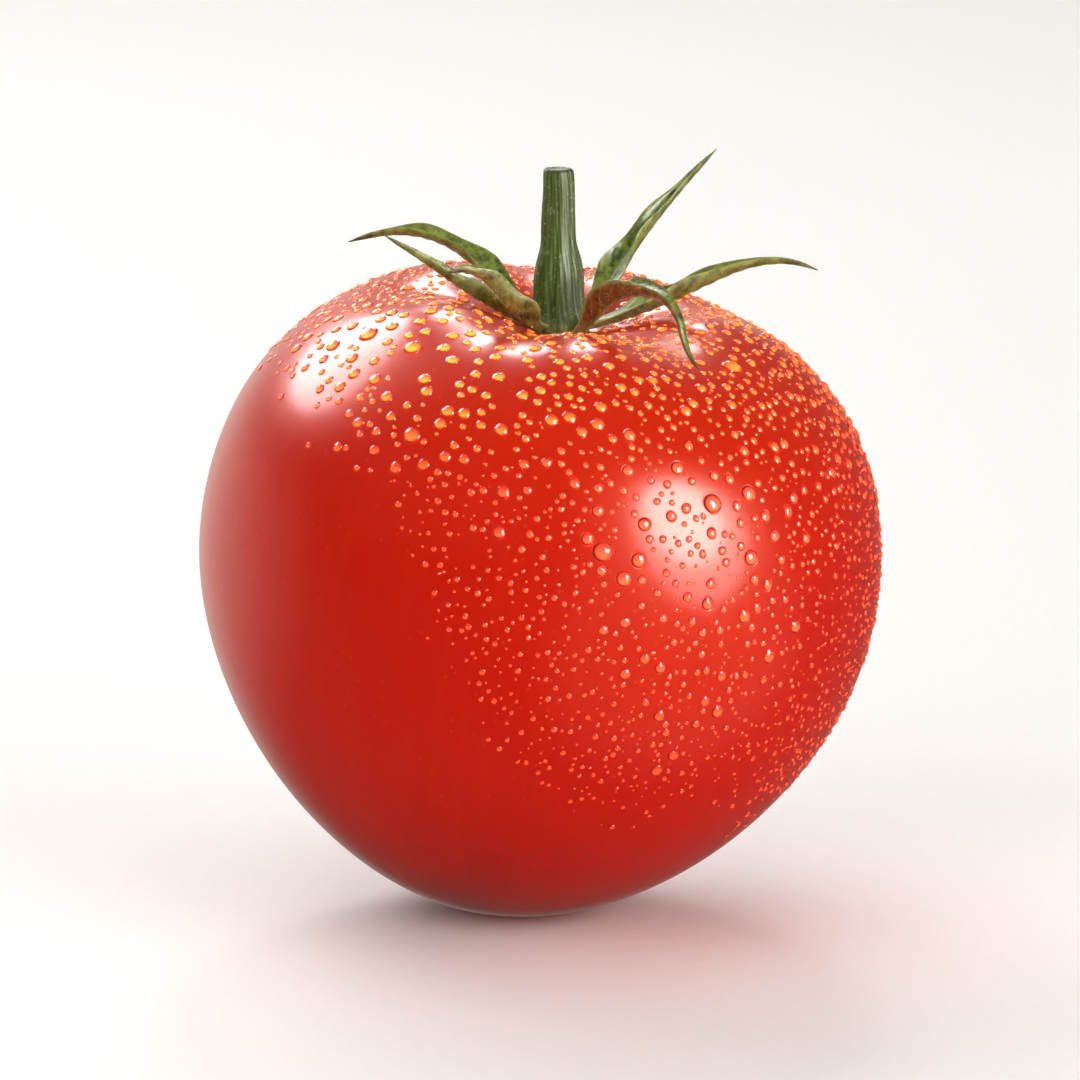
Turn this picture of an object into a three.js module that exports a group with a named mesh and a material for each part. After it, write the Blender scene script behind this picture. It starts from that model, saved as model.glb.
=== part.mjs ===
// A whole round tomato as picked: the fruit on its small flat resting spot, the cut stem with the
// receptacle that joins it to the fruit, and the six sepals of the calyx.
// Millimetres, +Z up. The origin is the middle of the flat resting spot, and the fruit's crown leans
// towards +X and a little towards -Y.
import * as THREE from "three";

const RADIUS = 34; // of the fruit at its widest
const CROWN_HEIGHT = 30.1; // from the widest ring up to where the crown would close, without its hollow
const BASE_DEPTH = 36.4; // from the widest ring down to the blossom end
const CROWN_FULLNESS = 2.39; // 2 is an ellipse, and more has broader shoulders
const BASE_FULLNESS = 1.76; // less than 2 draws in towards the blossom end
const LEAN_X = 9.2; // degrees, crown towards +X
const LEAN_Y = -6; // degrees, crown towards +Y
const FOOT_FLAT = 0.9; // how much the resting spot is pressed flat
const HOLLOW_DEPTH = 5.7; // of the hollow round the stem
const HOLLOW_WIDTH = 10.4; // radius at which the hollow has lost two thirds of its depth
const STEM_OFFSET = -2.1; // from the fruit's own axis to the middle of the hollow
const LOBES = 5; // soft ribs that run out over the shoulder
const LOBE_DEPTH = 1.1; // of the furrows between the lobes
const LOBE_REACH = 12.5; // radius at which the furrows are deepest
const LOBE_PHASE = 30; // degrees, direction of one furrow
const FRUIT_STEPS_ROUND = 54; // facets round the fruit
const FRUIT_STEPS_UP = 36; // facets from the blossom end to the crown

const SEAT_GAP = 0.4; // between the receptacle and the hollow's floor
const STEM_LENGTH = 16;
const STEM_FOOT_RADIUS = 2.5; // the swollen lower third
const STEM_NECK_RADIUS = 1.72;
const STEM_CUT_RADIUS = 1.5;
const RECEPTACLE_RADIUS = 3.4;
const RECEPTACLE_HEIGHT = 1.7;
const STEM_RIBS = 5;
const STEM_RIB_DEPTH = 0.05; // share of the radius
const STEM_STEPS_ROUND = 20;

const SEPAL_GAP = 0.35; // between a sepal's root and the receptacle
const SEPAL_ROOT_WIDTH = 0.9; // half width of each root
const SEPAL_THICKNESS = 0.34; // half thickness along the midrib
const SEPAL_TIP = 0.24; // half width and half thickness left at a tip
const SEPAL_REST_GAP = 0.45; // between the fruit and a sepal that lies along it
const SEPAL_SHOULDER = 0.26; // share of the length at which a sepal is widest
const SEPAL_STEPS = 16;
const SEPAL_STEPS_ROUND = 8;

// Each sepal: the direction it leaves in, its length, its half width, how far its halves fold up,
// how far it rolls about its midrib, how far it swings sideways, and its slope at even steps from
// root to tip. Angles in degrees.
const SEPALS = [
  { name: "sepal_right", azimuth: 3, length: 23, width: 1.9, fold: 38, roll: 10, sway: 0,
    slopes: [12, 19, 25, 23, 4, -26] },
  { name: "sepal_back_right", azimuth: 40, length: 22.4, width: 2.2, fold: 30, roll: 8, sway: -4,
    slopes: [44, 47, 45, 41, 39, 38] },
  { name: "sepal_back_left", azimuth: 152, length: 21.5, width: 2, fold: 34, roll: -20, sway: 4,
    slopes: [34, 38, 30, 8, -10, -20] },
  { name: "sepal_left", azimuth: 196, length: 16, width: 1.5, fold: 36, roll: 0, sway: -6,
    slopes: [22, 30, 34, 35, 34, 31] },
  { name: "sepal_front_left", azimuth: 236, length: 14.5, width: 2.4, fold: 38, roll: -12, sway: -38,
    slopes: [22, 30, 42, 43, 18, -20] },
  { name: "sepal_front_right", azimuth: 306, length: 23, width: 2.2, fold: 26, roll: 0, sway: 8,
    slopes: [38, 38, 12, -8, -74, -30] },
];

const SKIN = { color: 0xd22113, roughness: 0.2, metalness: 0 };
const STEM_GREEN = { color: 0x40481a, roughness: 0.7, metalness: 0 };
const SEPAL_GREEN = { color: 0x5c6336, roughness: 0.75, metalness: 0 };

const rad = THREE.MathUtils.degToRad;
const lean = new THREE.Matrix4().makeRotationFromEuler(new THREE.Euler(-rad(LEAN_Y), rad(LEAN_X), 0));

// Height of the crown over the widest ring, at a point across the fruit's own axis: a superellipse,
// less the hollow round the stem and the furrows between the lobes.
function crownProfile(x, y) {
  const share = Math.min(1, Math.hypot(x, y) / RADIUS);
  const dome = CROWN_HEIGHT * (1 - share ** CROWN_FULLNESS) ** (1 / CROWN_FULLNESS);
  const away = Math.hypot(x - STEM_OFFSET, y);
  const hollow = HOLLOW_DEPTH * Math.exp(-((away / HOLLOW_WIDTH) ** 2));
  const turn = Math.atan2(y, x - STEM_OFFSET) - rad(LOBE_PHASE);
  const ring = (away / LOBE_REACH) ** 2;
  const furrow = LOBE_DEPTH * ring * Math.exp(1 - ring) * (0.5 + 0.5 * Math.cos(LOBES * turn));
  return dome - hollow - furrow;
}

// Depth of the base under the widest ring.
function baseProfile(radius) {
  const share = Math.min(1, radius / RADIUS);
  return BASE_DEPTH * (1 - share ** BASE_FULLNESS) ** (1 / BASE_FULLNESS);
}

// The point that the leaning fruit touches the table with, found where the base slopes as much as
// the fruit leans. Everything is shifted so that this point, once pressed flat, is the origin.
function footPoint() {
  const down = new THREE.Vector3(0, 0, -1).applyMatrix4(lean.clone().invert());
  const wanted = Math.hypot(down.x, down.y) / -down.z;
  const step = 0.01;
  let near = 0;
  let far = RADIUS - step;
  for (let i = 0; i < 40; i++) {
    const middle = (near + far) / 2;
    const slope = (baseProfile(middle) - baseProfile(middle + step)) / step;
    if (slope < wanted) near = middle;
    else far = middle;
  }
  const turn = Math.atan2(down.y, down.x);
  const touching = new THREE.Vector3(near * Math.cos(turn), near * Math.sin(turn), -baseProfile(near));
  return touching.applyMatrix4(lean);
}

const foot = footPoint();
const place = new THREE.Matrix4().makeTranslation(-foot.x, -foot.y, -foot.z - FOOT_FLAT).multiply(lean);
const unplace = place.clone().invert();

// The crown point that lies straight above or below (x, y) in the part's frame: a guess at its
// place across the fruit's axis is corrected a few times.
function crownHeight(x, y) {
  const guess = new THREE.Vector3(x, y, CROWN_HEIGHT + BASE_DEPTH);
  const point = new THREE.Vector3();
  for (let i = 0; i < 8; i++) {
    const local = guess.clone().applyMatrix4(unplace);
    point.set(local.x, local.y, crownProfile(local.x, local.y)).applyMatrix4(place);
    guess.z += point.z - guess.z;
  }
  return point.z;
}

// The middle of the hollow, where the stem stands.
const seat = new THREE.Vector3(STEM_OFFSET, 0, crownProfile(STEM_OFFSET, 0)).applyMatrix4(place);

function finish(geometry, name, material) {
  geometry.deleteAttribute("uv");
  geometry.computeVertexNormals();
  const mesh = new THREE.Mesh(geometry, new THREE.MeshStandardMaterial(material));
  mesh.name = name;
  return mesh;
}

// Moves every vertex of a geometry by a function of its place.
function reshape(geometry, move) {
  const points = geometry.attributes.position;
  const point = new THREE.Vector3();
  for (let i = 0; i < points.count; i++) {
    move(point.fromBufferAttribute(points, i));
    points.setXYZ(i, point.x, point.y, point.z);
  }
  return geometry;
}

// The fruit: a sphere whose rings are drawn out to the crown and base profiles, leaned over, and
// pressed flat where it rests.
function makeFruit() {
  const sphere = new THREE.SphereGeometry(1, FRUIT_STEPS_ROUND, FRUIT_STEPS_UP).rotateX(Math.PI / 2);
  reshape(sphere, (point) => {
    const x = RADIUS * point.x;
    const y = RADIUS * point.y;
    const z = point.z > 0 ? crownProfile(x, y) : -baseProfile(Math.hypot(x, y));
    point.set(x, y, z).applyMatrix4(place);
    point.z = Math.max(0, point.z);
  });
  return finish(sphere, "fruit", SKIN);
}

// The stem: a turned profile from the receptacle's rim up to the cut, with soft ribs. Its underside
// follows the hollow's floor.
function makeStem() {
  const outline = [
    [0, 0], [RECEPTACLE_RADIUS - 0.4, 0], [RECEPTACLE_RADIUS, 0.45], [RECEPTACLE_RADIUS - 0.2, 1],
    [STEM_FOOT_RADIUS + 0.1, RECEPTACLE_HEIGHT], [STEM_FOOT_RADIUS, 0.2 * STEM_LENGTH],
    [STEM_FOOT_RADIUS - 0.05, 0.34 * STEM_LENGTH], [0.86 * STEM_FOOT_RADIUS, 0.43 * STEM_LENGTH],
    [STEM_NECK_RADIUS, 0.53 * STEM_LENGTH], [STEM_NECK_RADIUS - 0.06, 0.68 * STEM_LENGTH],
    [STEM_CUT_RADIUS + 0.05, 0.84 * STEM_LENGTH], [STEM_CUT_RADIUS, STEM_LENGTH - 0.3],
    [STEM_CUT_RADIUS - 0.15, STEM_LENGTH], [0, STEM_LENGTH],
  ];
  const profile = outline.map(([radius, height]) => new THREE.Vector2(radius, height));
  const turned = new THREE.LatheGeometry(profile, STEM_STEPS_ROUND).rotateX(Math.PI / 2);
  reshape(turned, (point) => {
    const swell = 1 + STEM_RIB_DEPTH * Math.cos(STEM_RIBS * Math.atan2(point.y, point.x));
    const x = seat.x + point.x * swell;
    const y = seat.y + point.y * swell;
    const follow = Math.max(0, 1 - point.z / RECEPTACLE_HEIGHT) * (crownHeight(x, y) - seat.z);
    point.set(x, y, seat.z + SEAT_GAP + point.z + follow);
  });
  return finish(turned, "stem", STEM_GREEN);
}

// Value between evenly spaced ones, at share t of the way.
function between(values, t) {
  const reached = t * (values.length - 1);
  const index = Math.min(values.length - 2, Math.floor(reached));
  return THREE.MathUtils.lerp(values[index], values[index + 1], reached - index);
}

// A sepal's midrib: it leaves the receptacle's rim, climbs and droops by its slopes, swings by its
// sway, and lies along the fruit where it would sink into it.
function midrib({ azimuth, length, sway, slopes }) {
  const points = [];
  const start = RECEPTACLE_RADIUS * (1 + STEM_RIB_DEPTH) + SEPAL_GAP;
  const point = new THREE.Vector3(start * Math.cos(rad(azimuth)), start * Math.sin(rad(azimuth)), 0);
  point.add(seat);
  const stride = length / SEPAL_STEPS;
  for (let i = 0; i <= SEPAL_STEPS; i++) {
    const rest = crownHeight(point.x, point.y) + SEPAL_REST_GAP + SEPAL_THICKNESS;
    point.z = Math.max(point.z, rest);
    points.push(point.clone());
    const t = Math.min(1, (i + 0.5) / SEPAL_STEPS);
    const slope = rad(between(slopes, t));
    const turn = rad(azimuth + sway * t * t);
    const reach = stride * Math.cos(slope);
    point.x += reach * Math.cos(turn);
    point.y += reach * Math.sin(turn);
    point.z += stride * Math.sin(slope);
  }
  return points;
}

// Half width at share t of a sepal's length: from the root's to the full width, then a long taper.
function sepalHalfWidth(width, t) {
  const full = THREE.MathUtils.smoothstep(t, 0, SEPAL_SHOULDER);
  const spread = THREE.MathUtils.lerp(SEPAL_ROOT_WIDTH, width, full);
  return Math.max(SEPAL_TIP, spread * Math.min(1, ((1 - t) / (1 - SEPAL_SHOULDER)) ** 0.9));
}

// A sepal: a cylinder bent along the midrib, its round section squeezed to a thin lens whose two
// halves fold up about the midrib.
function makeSepal(sepal) {
  const ribs = midrib(sepal);
  const tube = new THREE.CylinderGeometry(1, 1, 1, SEPAL_STEPS_ROUND, SEPAL_STEPS);
  reshape(tube, (point) => {
    const t = point.y + 0.5;
    const index = Math.round(t * SEPAL_STEPS);
    const ahead = ribs[Math.min(SEPAL_STEPS, index + 1)];
    const behind = ribs[Math.max(0, index - 1)];
    const along = ahead.clone().sub(behind).normalize();
    const side = new THREE.Vector3(along.y, -along.x, 0).normalize();
    side.applyAxisAngle(along, rad(sepal.roll) * THREE.MathUtils.smoothstep(t, 0, SEPAL_SHOULDER));
    const up = side.clone().cross(along);
    const width = sepalHalfWidth(sepal.width, t);
    const fold = rad(sepal.fold) * THREE.MathUtils.smoothstep(t, -0.1, SEPAL_SHOULDER);
    const thickness = Math.max(SEPAL_TIP, SEPAL_THICKNESS * (1 - 0.4 * t));
    const across = width * point.x * Math.cos(fold);
    const raised = width * Math.abs(point.x) * Math.sin(fold) + thickness * point.z;
    point.copy(ribs[index]).addScaledVector(side, across).addScaledVector(up, raised);
  });
  return finish(tube, sepal.name, SEPAL_GREEN);
}

const tomato = new THREE.Group();
tomato.add(makeFruit());
tomato.add(makeStem());
for (const sepal of SEPALS) tomato.add(makeSepal(sepal));

export default tomato;
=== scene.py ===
"""Looks for a ripe round tomato: waxy skin under a mist of water drops, a downy stem and six sepals.

Every length is written in the part's millimetres and turned to metres by MM, which is worked out
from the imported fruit's width. Each surface is a formula on a grid, computed as whole arrays.
"""

import math

import bpy
import numpy as np
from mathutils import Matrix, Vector


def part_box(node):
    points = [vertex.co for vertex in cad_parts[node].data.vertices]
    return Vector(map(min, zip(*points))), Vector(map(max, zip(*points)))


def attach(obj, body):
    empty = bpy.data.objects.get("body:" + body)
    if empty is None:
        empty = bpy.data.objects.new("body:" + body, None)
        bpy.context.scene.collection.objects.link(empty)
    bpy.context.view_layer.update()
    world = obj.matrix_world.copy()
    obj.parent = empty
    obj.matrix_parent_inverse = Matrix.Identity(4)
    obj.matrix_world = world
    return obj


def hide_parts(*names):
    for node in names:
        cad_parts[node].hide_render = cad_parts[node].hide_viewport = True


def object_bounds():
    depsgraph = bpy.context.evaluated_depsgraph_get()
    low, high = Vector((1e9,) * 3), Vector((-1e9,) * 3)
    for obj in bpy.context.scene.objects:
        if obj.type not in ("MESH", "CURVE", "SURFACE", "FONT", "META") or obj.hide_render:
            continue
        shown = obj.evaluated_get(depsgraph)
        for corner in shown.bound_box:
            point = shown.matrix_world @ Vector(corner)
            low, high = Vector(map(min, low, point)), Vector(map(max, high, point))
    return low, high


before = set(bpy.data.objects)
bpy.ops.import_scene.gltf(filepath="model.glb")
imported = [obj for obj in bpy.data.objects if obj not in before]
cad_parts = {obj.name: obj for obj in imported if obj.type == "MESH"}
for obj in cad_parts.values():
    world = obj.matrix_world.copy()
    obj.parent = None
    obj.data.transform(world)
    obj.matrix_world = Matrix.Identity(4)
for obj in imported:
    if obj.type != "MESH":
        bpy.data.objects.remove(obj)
cad_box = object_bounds()

# ---------------------------------------------------------------- driving sizes, in millimetres
RADIUS = 34.0
CROWN_HEIGHT = 30.1
BASE_DEPTH = 36.4
CROWN_FULLNESS = 2.39
BASE_FULLNESS = 1.76
LEAN_X = math.radians(9.2)
LEAN_Y = math.radians(-6.0)
HOLLOW_DEPTH = 5.7
HOLLOW_WIDTH = 10.4
STEM_OFFSET = -2.1
LOBES = 5
LOBE_DEPTH = 1.1
LOBE_REACH = 12.5
LOBE_PHASE = math.radians(30)
FAIRING = 3.2  # how far the meridian is smoothed along itself
FOOT_SOFTNESS = 0.5  # how gently the skin turns into its resting spot
STEM_END_RADIUS = 4.4  # the corky ring round the stem, which stays free of drops
LOWEST_DROP = 3.0

fruit_low, fruit_high = (np.array(corner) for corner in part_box("fruit"))
stem_low, stem_high = (np.array(corner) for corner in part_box("stem"))
MM = (fruit_high[0] - fruit_low[0]) / (2 * RADIUS)  # metres in one of the part's millimetres
CENTRE = ((fruit_low + fruit_high) / 2).tolist()
sepal_chance = np.random.default_rng(7)


def smooth(low, high, value):
    """0 below low, 1 above high, and an S-shaped rise between."""
    t = np.clip((value - low) / (high - low), 0, 1)
    return t * t * (3 - 2 * t)


def unit(vectors):
    """Each vector divided by its own length."""
    return vectors / np.maximum(np.linalg.norm(vectors, axis=-1, keepdims=True), 1e-12)


def mesh_object(name, points, faces, material, **attributes):
    """An object at the origin from an (n, 3) array in millimetres and a list of face index arrays.

    An attribute is an array with one number, or three, for each point.
    """
    mesh = bpy.data.meshes.new(name)
    mesh.vertices.add(len(points))
    mesh.vertices.foreach_set("co", (points * MM).astype(np.float32).ravel())
    corners = np.concatenate([block.ravel() for block in faces])
    sizes = np.concatenate([np.full(len(block), block.shape[1]) for block in faces])
    mesh.loops.add(len(corners))
    mesh.loops.foreach_set("vertex_index", corners.astype(np.int32))
    mesh.polygons.add(len(sizes))
    mesh.polygons.foreach_set("loop_start", (np.cumsum(sizes) - sizes).astype(np.int32))
    mesh.polygons.foreach_set("use_smooth", np.ones(len(sizes), dtype=bool))
    for key, values in attributes.items():
        kind, field = ("FLOAT_VECTOR", "vector") if values.ndim == 2 else ("FLOAT", "value")
        layer = mesh.attributes.new(key, kind, "POINT")
        layer.data.foreach_set(field, values.astype(np.float32).ravel())
    mesh.update(calc_edges=True)
    mesh.validate()
    mesh.materials.append(material)
    piece = bpy.data.objects.new(name, mesh)
    bpy.context.scene.collection.objects.link(piece)
    return piece


def turns_round(around):
    """Even steps round a full turn."""
    return np.arange(around) * math.tau / around


def tube_faces(rings, around):
    """Quads between consecutive rings of points, each ring closed on itself, and a fan at each end.

    Points are numbered ring by ring, followed by the first end's middle and the last end's middle.
    """
    ring, step = np.meshgrid(np.arange(rings - 1), np.arange(around), indexing="ij")
    after = (step + 1) % around
    a, b = ring * around + step, ring * around + after
    quads = np.stack([a, b, b + around, a + around], axis=-1).reshape(-1, 4)
    start, end = rings * around, rings * around + 1
    step = np.arange(around)
    after = (step + 1) % around
    first = np.stack([np.full(around, start), after, step], axis=-1)
    base = (rings - 1) * around
    last = np.stack([np.full(around, end), base + step, base + after], axis=-1)
    return [quads, np.concatenate([first, last])]


def repeated(faces, count, size):
    """The faces of one shape of the given number of points, again for each of count such shapes."""
    start = np.arange(count)[:, None, None] * size
    return [(start + block[None]).reshape(-1, block.shape[1]) for block in faces]


# ---------------------------------------------------------------- the fruit's shape
def crown_dents(x, y):
    """Depth of the hollow round the stem, a bell curve, plus the furrows between the lobes, a
    cosine round the stem that fades in and out with distance from it."""
    away = np.hypot(x - STEM_OFFSET, y)
    turn = np.arctan2(y, x - STEM_OFFSET) - LOBE_PHASE
    ring = (away / LOBE_REACH) ** 2
    furrow = LOBE_DEPTH * ring * np.exp(1 - ring) * (0.5 + 0.5 * np.cos(LOBES * turn))
    return HOLLOW_DEPTH * np.exp(-((away / HOLLOW_WIDTH) ** 2)) + furrow


def crown_dome(x, y):
    """Height over the widest ring: a superellipse in the distance from the axis."""
    share = np.minimum(1, np.hypot(x, y) / RADIUS)
    return CROWN_HEIGHT * (1 - share**CROWN_FULLNESS) ** (1 / CROWN_FULLNESS)


def meridian():
    """Radius and height at even steps along the outline from crown to blossom end: two superellipse
    quarters, blurred along their length so that they meet without a crease."""
    angle = np.linspace(0, math.pi, 4001)
    share = np.sin(angle)
    upper = CROWN_HEIGHT * (1 - share**CROWN_FULLNESS).clip(0) ** (1 / CROWN_FULLNESS)
    lower = -BASE_DEPTH * (1 - share**BASE_FULLNESS).clip(0) ** (1 / BASE_FULLNESS)
    radius, height = RADIUS * share, np.where(angle < math.pi / 2, upper, lower)
    length = np.concatenate([[0], np.cumsum(np.hypot(np.diff(radius), np.diff(height)))])
    even = np.arange(0, length[-1], 0.05)
    radius, height = np.interp(even, length, radius), np.interp(even, length, height)
    reach = int(3 * FAIRING / 0.05)
    bell = np.exp(-0.5 * (np.arange(-reach, reach + 1) * 0.05 / FAIRING) ** 2)
    bell /= bell.sum()
    radius = np.concatenate([-radius[reach:0:-1], radius, -radius[-2 : -reach - 2 : -1]])
    height = np.concatenate([height[reach:0:-1], height, height[-2 : -reach - 2 : -1]])
    return np.convolve(radius, bell, "valid"), np.convolve(height, bell, "valid")


OUTLINE_RADIUS, OUTLINE_HEIGHT = meridian()
cx, sx, cy, sy = math.cos(-LEAN_Y), math.sin(-LEAN_Y), math.cos(LEAN_X), math.sin(LEAN_X)
LEAN = np.array([[1, 0, 0], [0, cx, -sx], [0, sx, cx]]) @ np.array([[cy, 0, sy], [0, 1, 0], [-sy, 0, cy]])


def leaning_skin(turn, along):
    """The skin before it is set down: the outline at share along of its length, turned about the
    fruit's axis, with the dents of the crown and a slow unevenness of three waves, then leaned."""
    place = along * (len(OUTLINE_RADIUS) - 1)
    radius = np.interp(place, np.arange(len(OUTLINE_RADIUS)), OUTLINE_RADIUS)
    height = np.interp(place, np.arange(len(OUTLINE_RADIUS)), OUTLINE_HEIGHT)
    wave = 0.22 * np.cos(2 * turn + 0.6) + 0.16 * np.cos(3 * turn + 2.1) + 0.1 * np.cos(5 * turn + 4.0)
    radius = radius + wave * np.sin(math.pi * along) ** 2
    x, y = radius * np.cos(turn), radius * np.sin(turn)
    dents = crown_dents(x, y) * smooth(-2, 12, height)
    blossom = 0.5 * np.exp(-((radius / 2.2) ** 2)) * (height < 0)
    return np.stack([x, y, height - dents + blossom], axis=-1) @ LEAN.T


def skin_shift():
    """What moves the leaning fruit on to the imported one: the middles of their boxes agree across,
    and their tops agree in height."""
    turn, along = np.meshgrid(np.linspace(0, math.tau, 181), np.linspace(0, 1, 181))
    points = leaning_skin(turn, along).reshape(-1, 3)
    low, high = points.min(axis=0), points.max(axis=0)
    shift = (fruit_low + fruit_high) / (2 * MM) - (low + high) / 2
    shift[2] = fruit_high[2] / MM - high[2]
    return shift


SHIFT = skin_shift()


def skin(turn, along):
    """The leaning skin set down, with its lowest part eased flat: the mean of the height and of its
    length with a small softness, which tends to nothing below the table."""
    points = leaning_skin(turn, along) + SHIFT
    height = points[..., 2]
    points[..., 2] = 0.5 * (height + np.hypot(height, FOOT_SOFTNESS))
    return points


def crown_height(x, y):
    """Height of the crown straight above (x, y), found by correcting a guess a few times."""
    z = np.full(np.shape(x), fruit_high[2] / MM)
    for _ in range(8):
        local = (np.stack([x, y, z], axis=-1) - SHIFT) @ LEAN
        top = crown_dome(local[..., 0], local[..., 1]) - crown_dents(local[..., 0], local[..., 1])
        z = (np.stack([local[..., 0], local[..., 1], top], axis=-1) @ LEAN.T + SHIFT)[..., 2]
    return z


SEAT = np.array([(stem_low[0] + stem_high[0]) / (2 * MM), (stem_low[1] + stem_high[1]) / (2 * MM), 0])
SEAT[2] = crown_height(SEAT[0], SEAT[1])


# ---------------------------------------------------------------- materials
def linear(colour):
    """An sRGB hex colour as linear red, green, blue and a full alpha."""
    parts = [int(colour[i : i + 2], 16) / 255 for i in (1, 3, 5)]
    return tuple(c / 12.92 if c <= 0.04045 else ((c + 0.055) / 1.055) ** 2.4 for c in parts) + (1.0,)


def add(tree, kind, links=None, **settings):
    """Adds a node, sets its properties, and links or sets its inputs."""
    node = tree.nodes.new(kind)
    for key, value in settings.items():
        setattr(node, key, value)
    for key, value in (links or {}).items():
        if isinstance(value, bpy.types.NodeSocket):
            tree.links.new(value, node.inputs[key])
        else:
            node.inputs[key].default_value = value
    return node


def soft_step(tree, value, low, high, top=1.0, bottom=0.0):
    """An S-shaped rise from bottom to top as the value goes from low to high."""
    step = add(tree, "ShaderNodeMapRange", {"Value": value, "From Min": low, "From Max": high,
                                            "To Min": bottom, "To Max": top},
               interpolation_type="SMOOTHSTEP")
    return step.outputs[0]


def blend(tree, share, first, second):
    """The first colour turning into the second as the share goes from 0 to 1."""
    return add(tree, "ShaderNodeMix", {0: share, 6: first, 7: second}, data_type="RGBA").outputs[2]


def new_material(name):
    """An empty node material, its tree and its output node."""
    material = bpy.data.materials.new(name)
    material.use_nodes = True
    material.node_tree.nodes.clear()
    output = add(material.node_tree, "ShaderNodeOutputMaterial")
    return material, material.node_tree, output


def waxy_tomato_skin():
    """Ripe tomato skin: a thin clear wax over red flesh. The wax gives clean soft highlights, the flesh under
    it glows, and the colour drifts from orange-red at the shoulders, partly the skin's own tone and partly
    painted light on the top, to a deeper red below that is painted shade, with faint streaks that run from
    stem to blossom end and tiny pale dots."""
    material, tree, output = new_material("waxy_tomato_skin")
    place = add(tree, "ShaderNodeTexCoord").outputs["Object"]
    growth = add(tree, "ShaderNodeAttribute", attribute_name="growth")
    stem_end = add(tree, "ShaderNodeAttribute", attribute_name="stem_end").outputs["Fac"]
    blossom_end = add(tree, "ShaderNodeAttribute", attribute_name="blossom_end").outputs["Fac"]
    up = add(tree, "ShaderNodeSeparateXYZ", {0: growth.outputs["Vector"]}).outputs["Z"]

    # Slow patches about 14 mm across.
    patches = add(tree, "ShaderNodeTexNoise", {"Vector": place, "Scale": 70.0, "Detail": 3.0,
                                               "Roughness": 0.5})
    # Streaks about 2 mm wide and 20 mm long that follow the growth.
    long_way = add(tree, "ShaderNodeVectorMath", {0: growth.outputs["Vector"], 1: (9.0, 9.0, 2.2)},
                   operation="MULTIPLY")
    streaks = add(tree, "ShaderNodeTexNoise", {"Vector": long_way.outputs[0], "Scale": 2.2, "Detail": 5.0,
                                               "Roughness": 0.6})
    # Pale dots about 0.4 mm across and 1.5 mm apart.
    dots = add(tree, "ShaderNodeTexVoronoi", {"Vector": place, "Scale": 650.0, "Randomness": 1.0})
    dot = soft_step(tree, dots.outputs["Distance"], 0.17, 0.06, 0.1)

    # Partly painted light: the crown turns more orange, the skin's own tone there with a painted lift where
    # light falls on the top.
    shoulder = soft_step(tree, up, 0.5, 1.0)
    # Painted shade: the red darkens to #7c0803 towards the bottom, standing in for the shade under the fruit.
    below = soft_step(tree, up, 0.42, 0.05, 0.8)
    colour = blend(tree, shoulder, linear("#ba1203"), linear("#c82d07"))
    colour = blend(tree, below, colour, linear("#7c0803"))
    colour = blend(tree, soft_step(tree, patches.outputs["Fac"], 0.3, 0.75, 0.6), colour, linear("#ba1605"))
    colour = blend(tree, soft_step(tree, streaks.outputs["Fac"], 0.45, 0.8, 0.2), colour, linear("#c32a08"))
    colour = blend(tree, dot, colour, linear("#e0703a"))
    cork = add(tree, "ShaderNodeMath", {0: stem_end, 1: patches.outputs["Fac"]}, operation="MULTIPLY")
    colour = blend(tree, cork.outputs[0], colour, linear("#8a7a34"))
    colour = blend(tree, blossom_end, colour, linear("#6a3c1c"))

    # Pores about 0.4 mm apart and a slow ripple about 5 mm long, both a few hundredths of a millimetre.
    pores = add(tree, "ShaderNodeTexNoise", {"Vector": place, "Scale": 2600.0, "Detail": 2.0})
    ripple = add(tree, "ShaderNodeTexNoise", {"Vector": place, "Scale": 190.0, "Detail": 2.0})
    coarse = add(tree, "ShaderNodeBump", {"Strength": 1.0, "Distance": 0.00005,
                                          "Height": ripple.outputs["Fac"]})
    fine = add(tree, "ShaderNodeBump", {"Strength": 0.5, "Distance": 0.00001, "Height": pores.outputs["Fac"],
                                        "Normal": coarse.outputs[0]})
    polish = soft_step(tree, patches.outputs["Fac"], 0.25, 0.75, 0.34, 0.28)
    shader = add(tree, "ShaderNodeBsdfPrincipled", {
        "Base Color": colour, "Roughness": polish, "IOR": 1.34, "Specular Tint": linear("#ff8048"),
        "Subsurface Weight": 0.18, "Subsurface Radius": (1.0, 0.22, 0.1), "Subsurface Scale": 0.003,
        "Coat Weight": 0.42, "Coat Roughness": 0.18, "Coat IOR": 1.45, "Normal": fine.outputs[0]})
    tree.links.new(shader.outputs[0], output.inputs[0])
    return material


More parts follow.
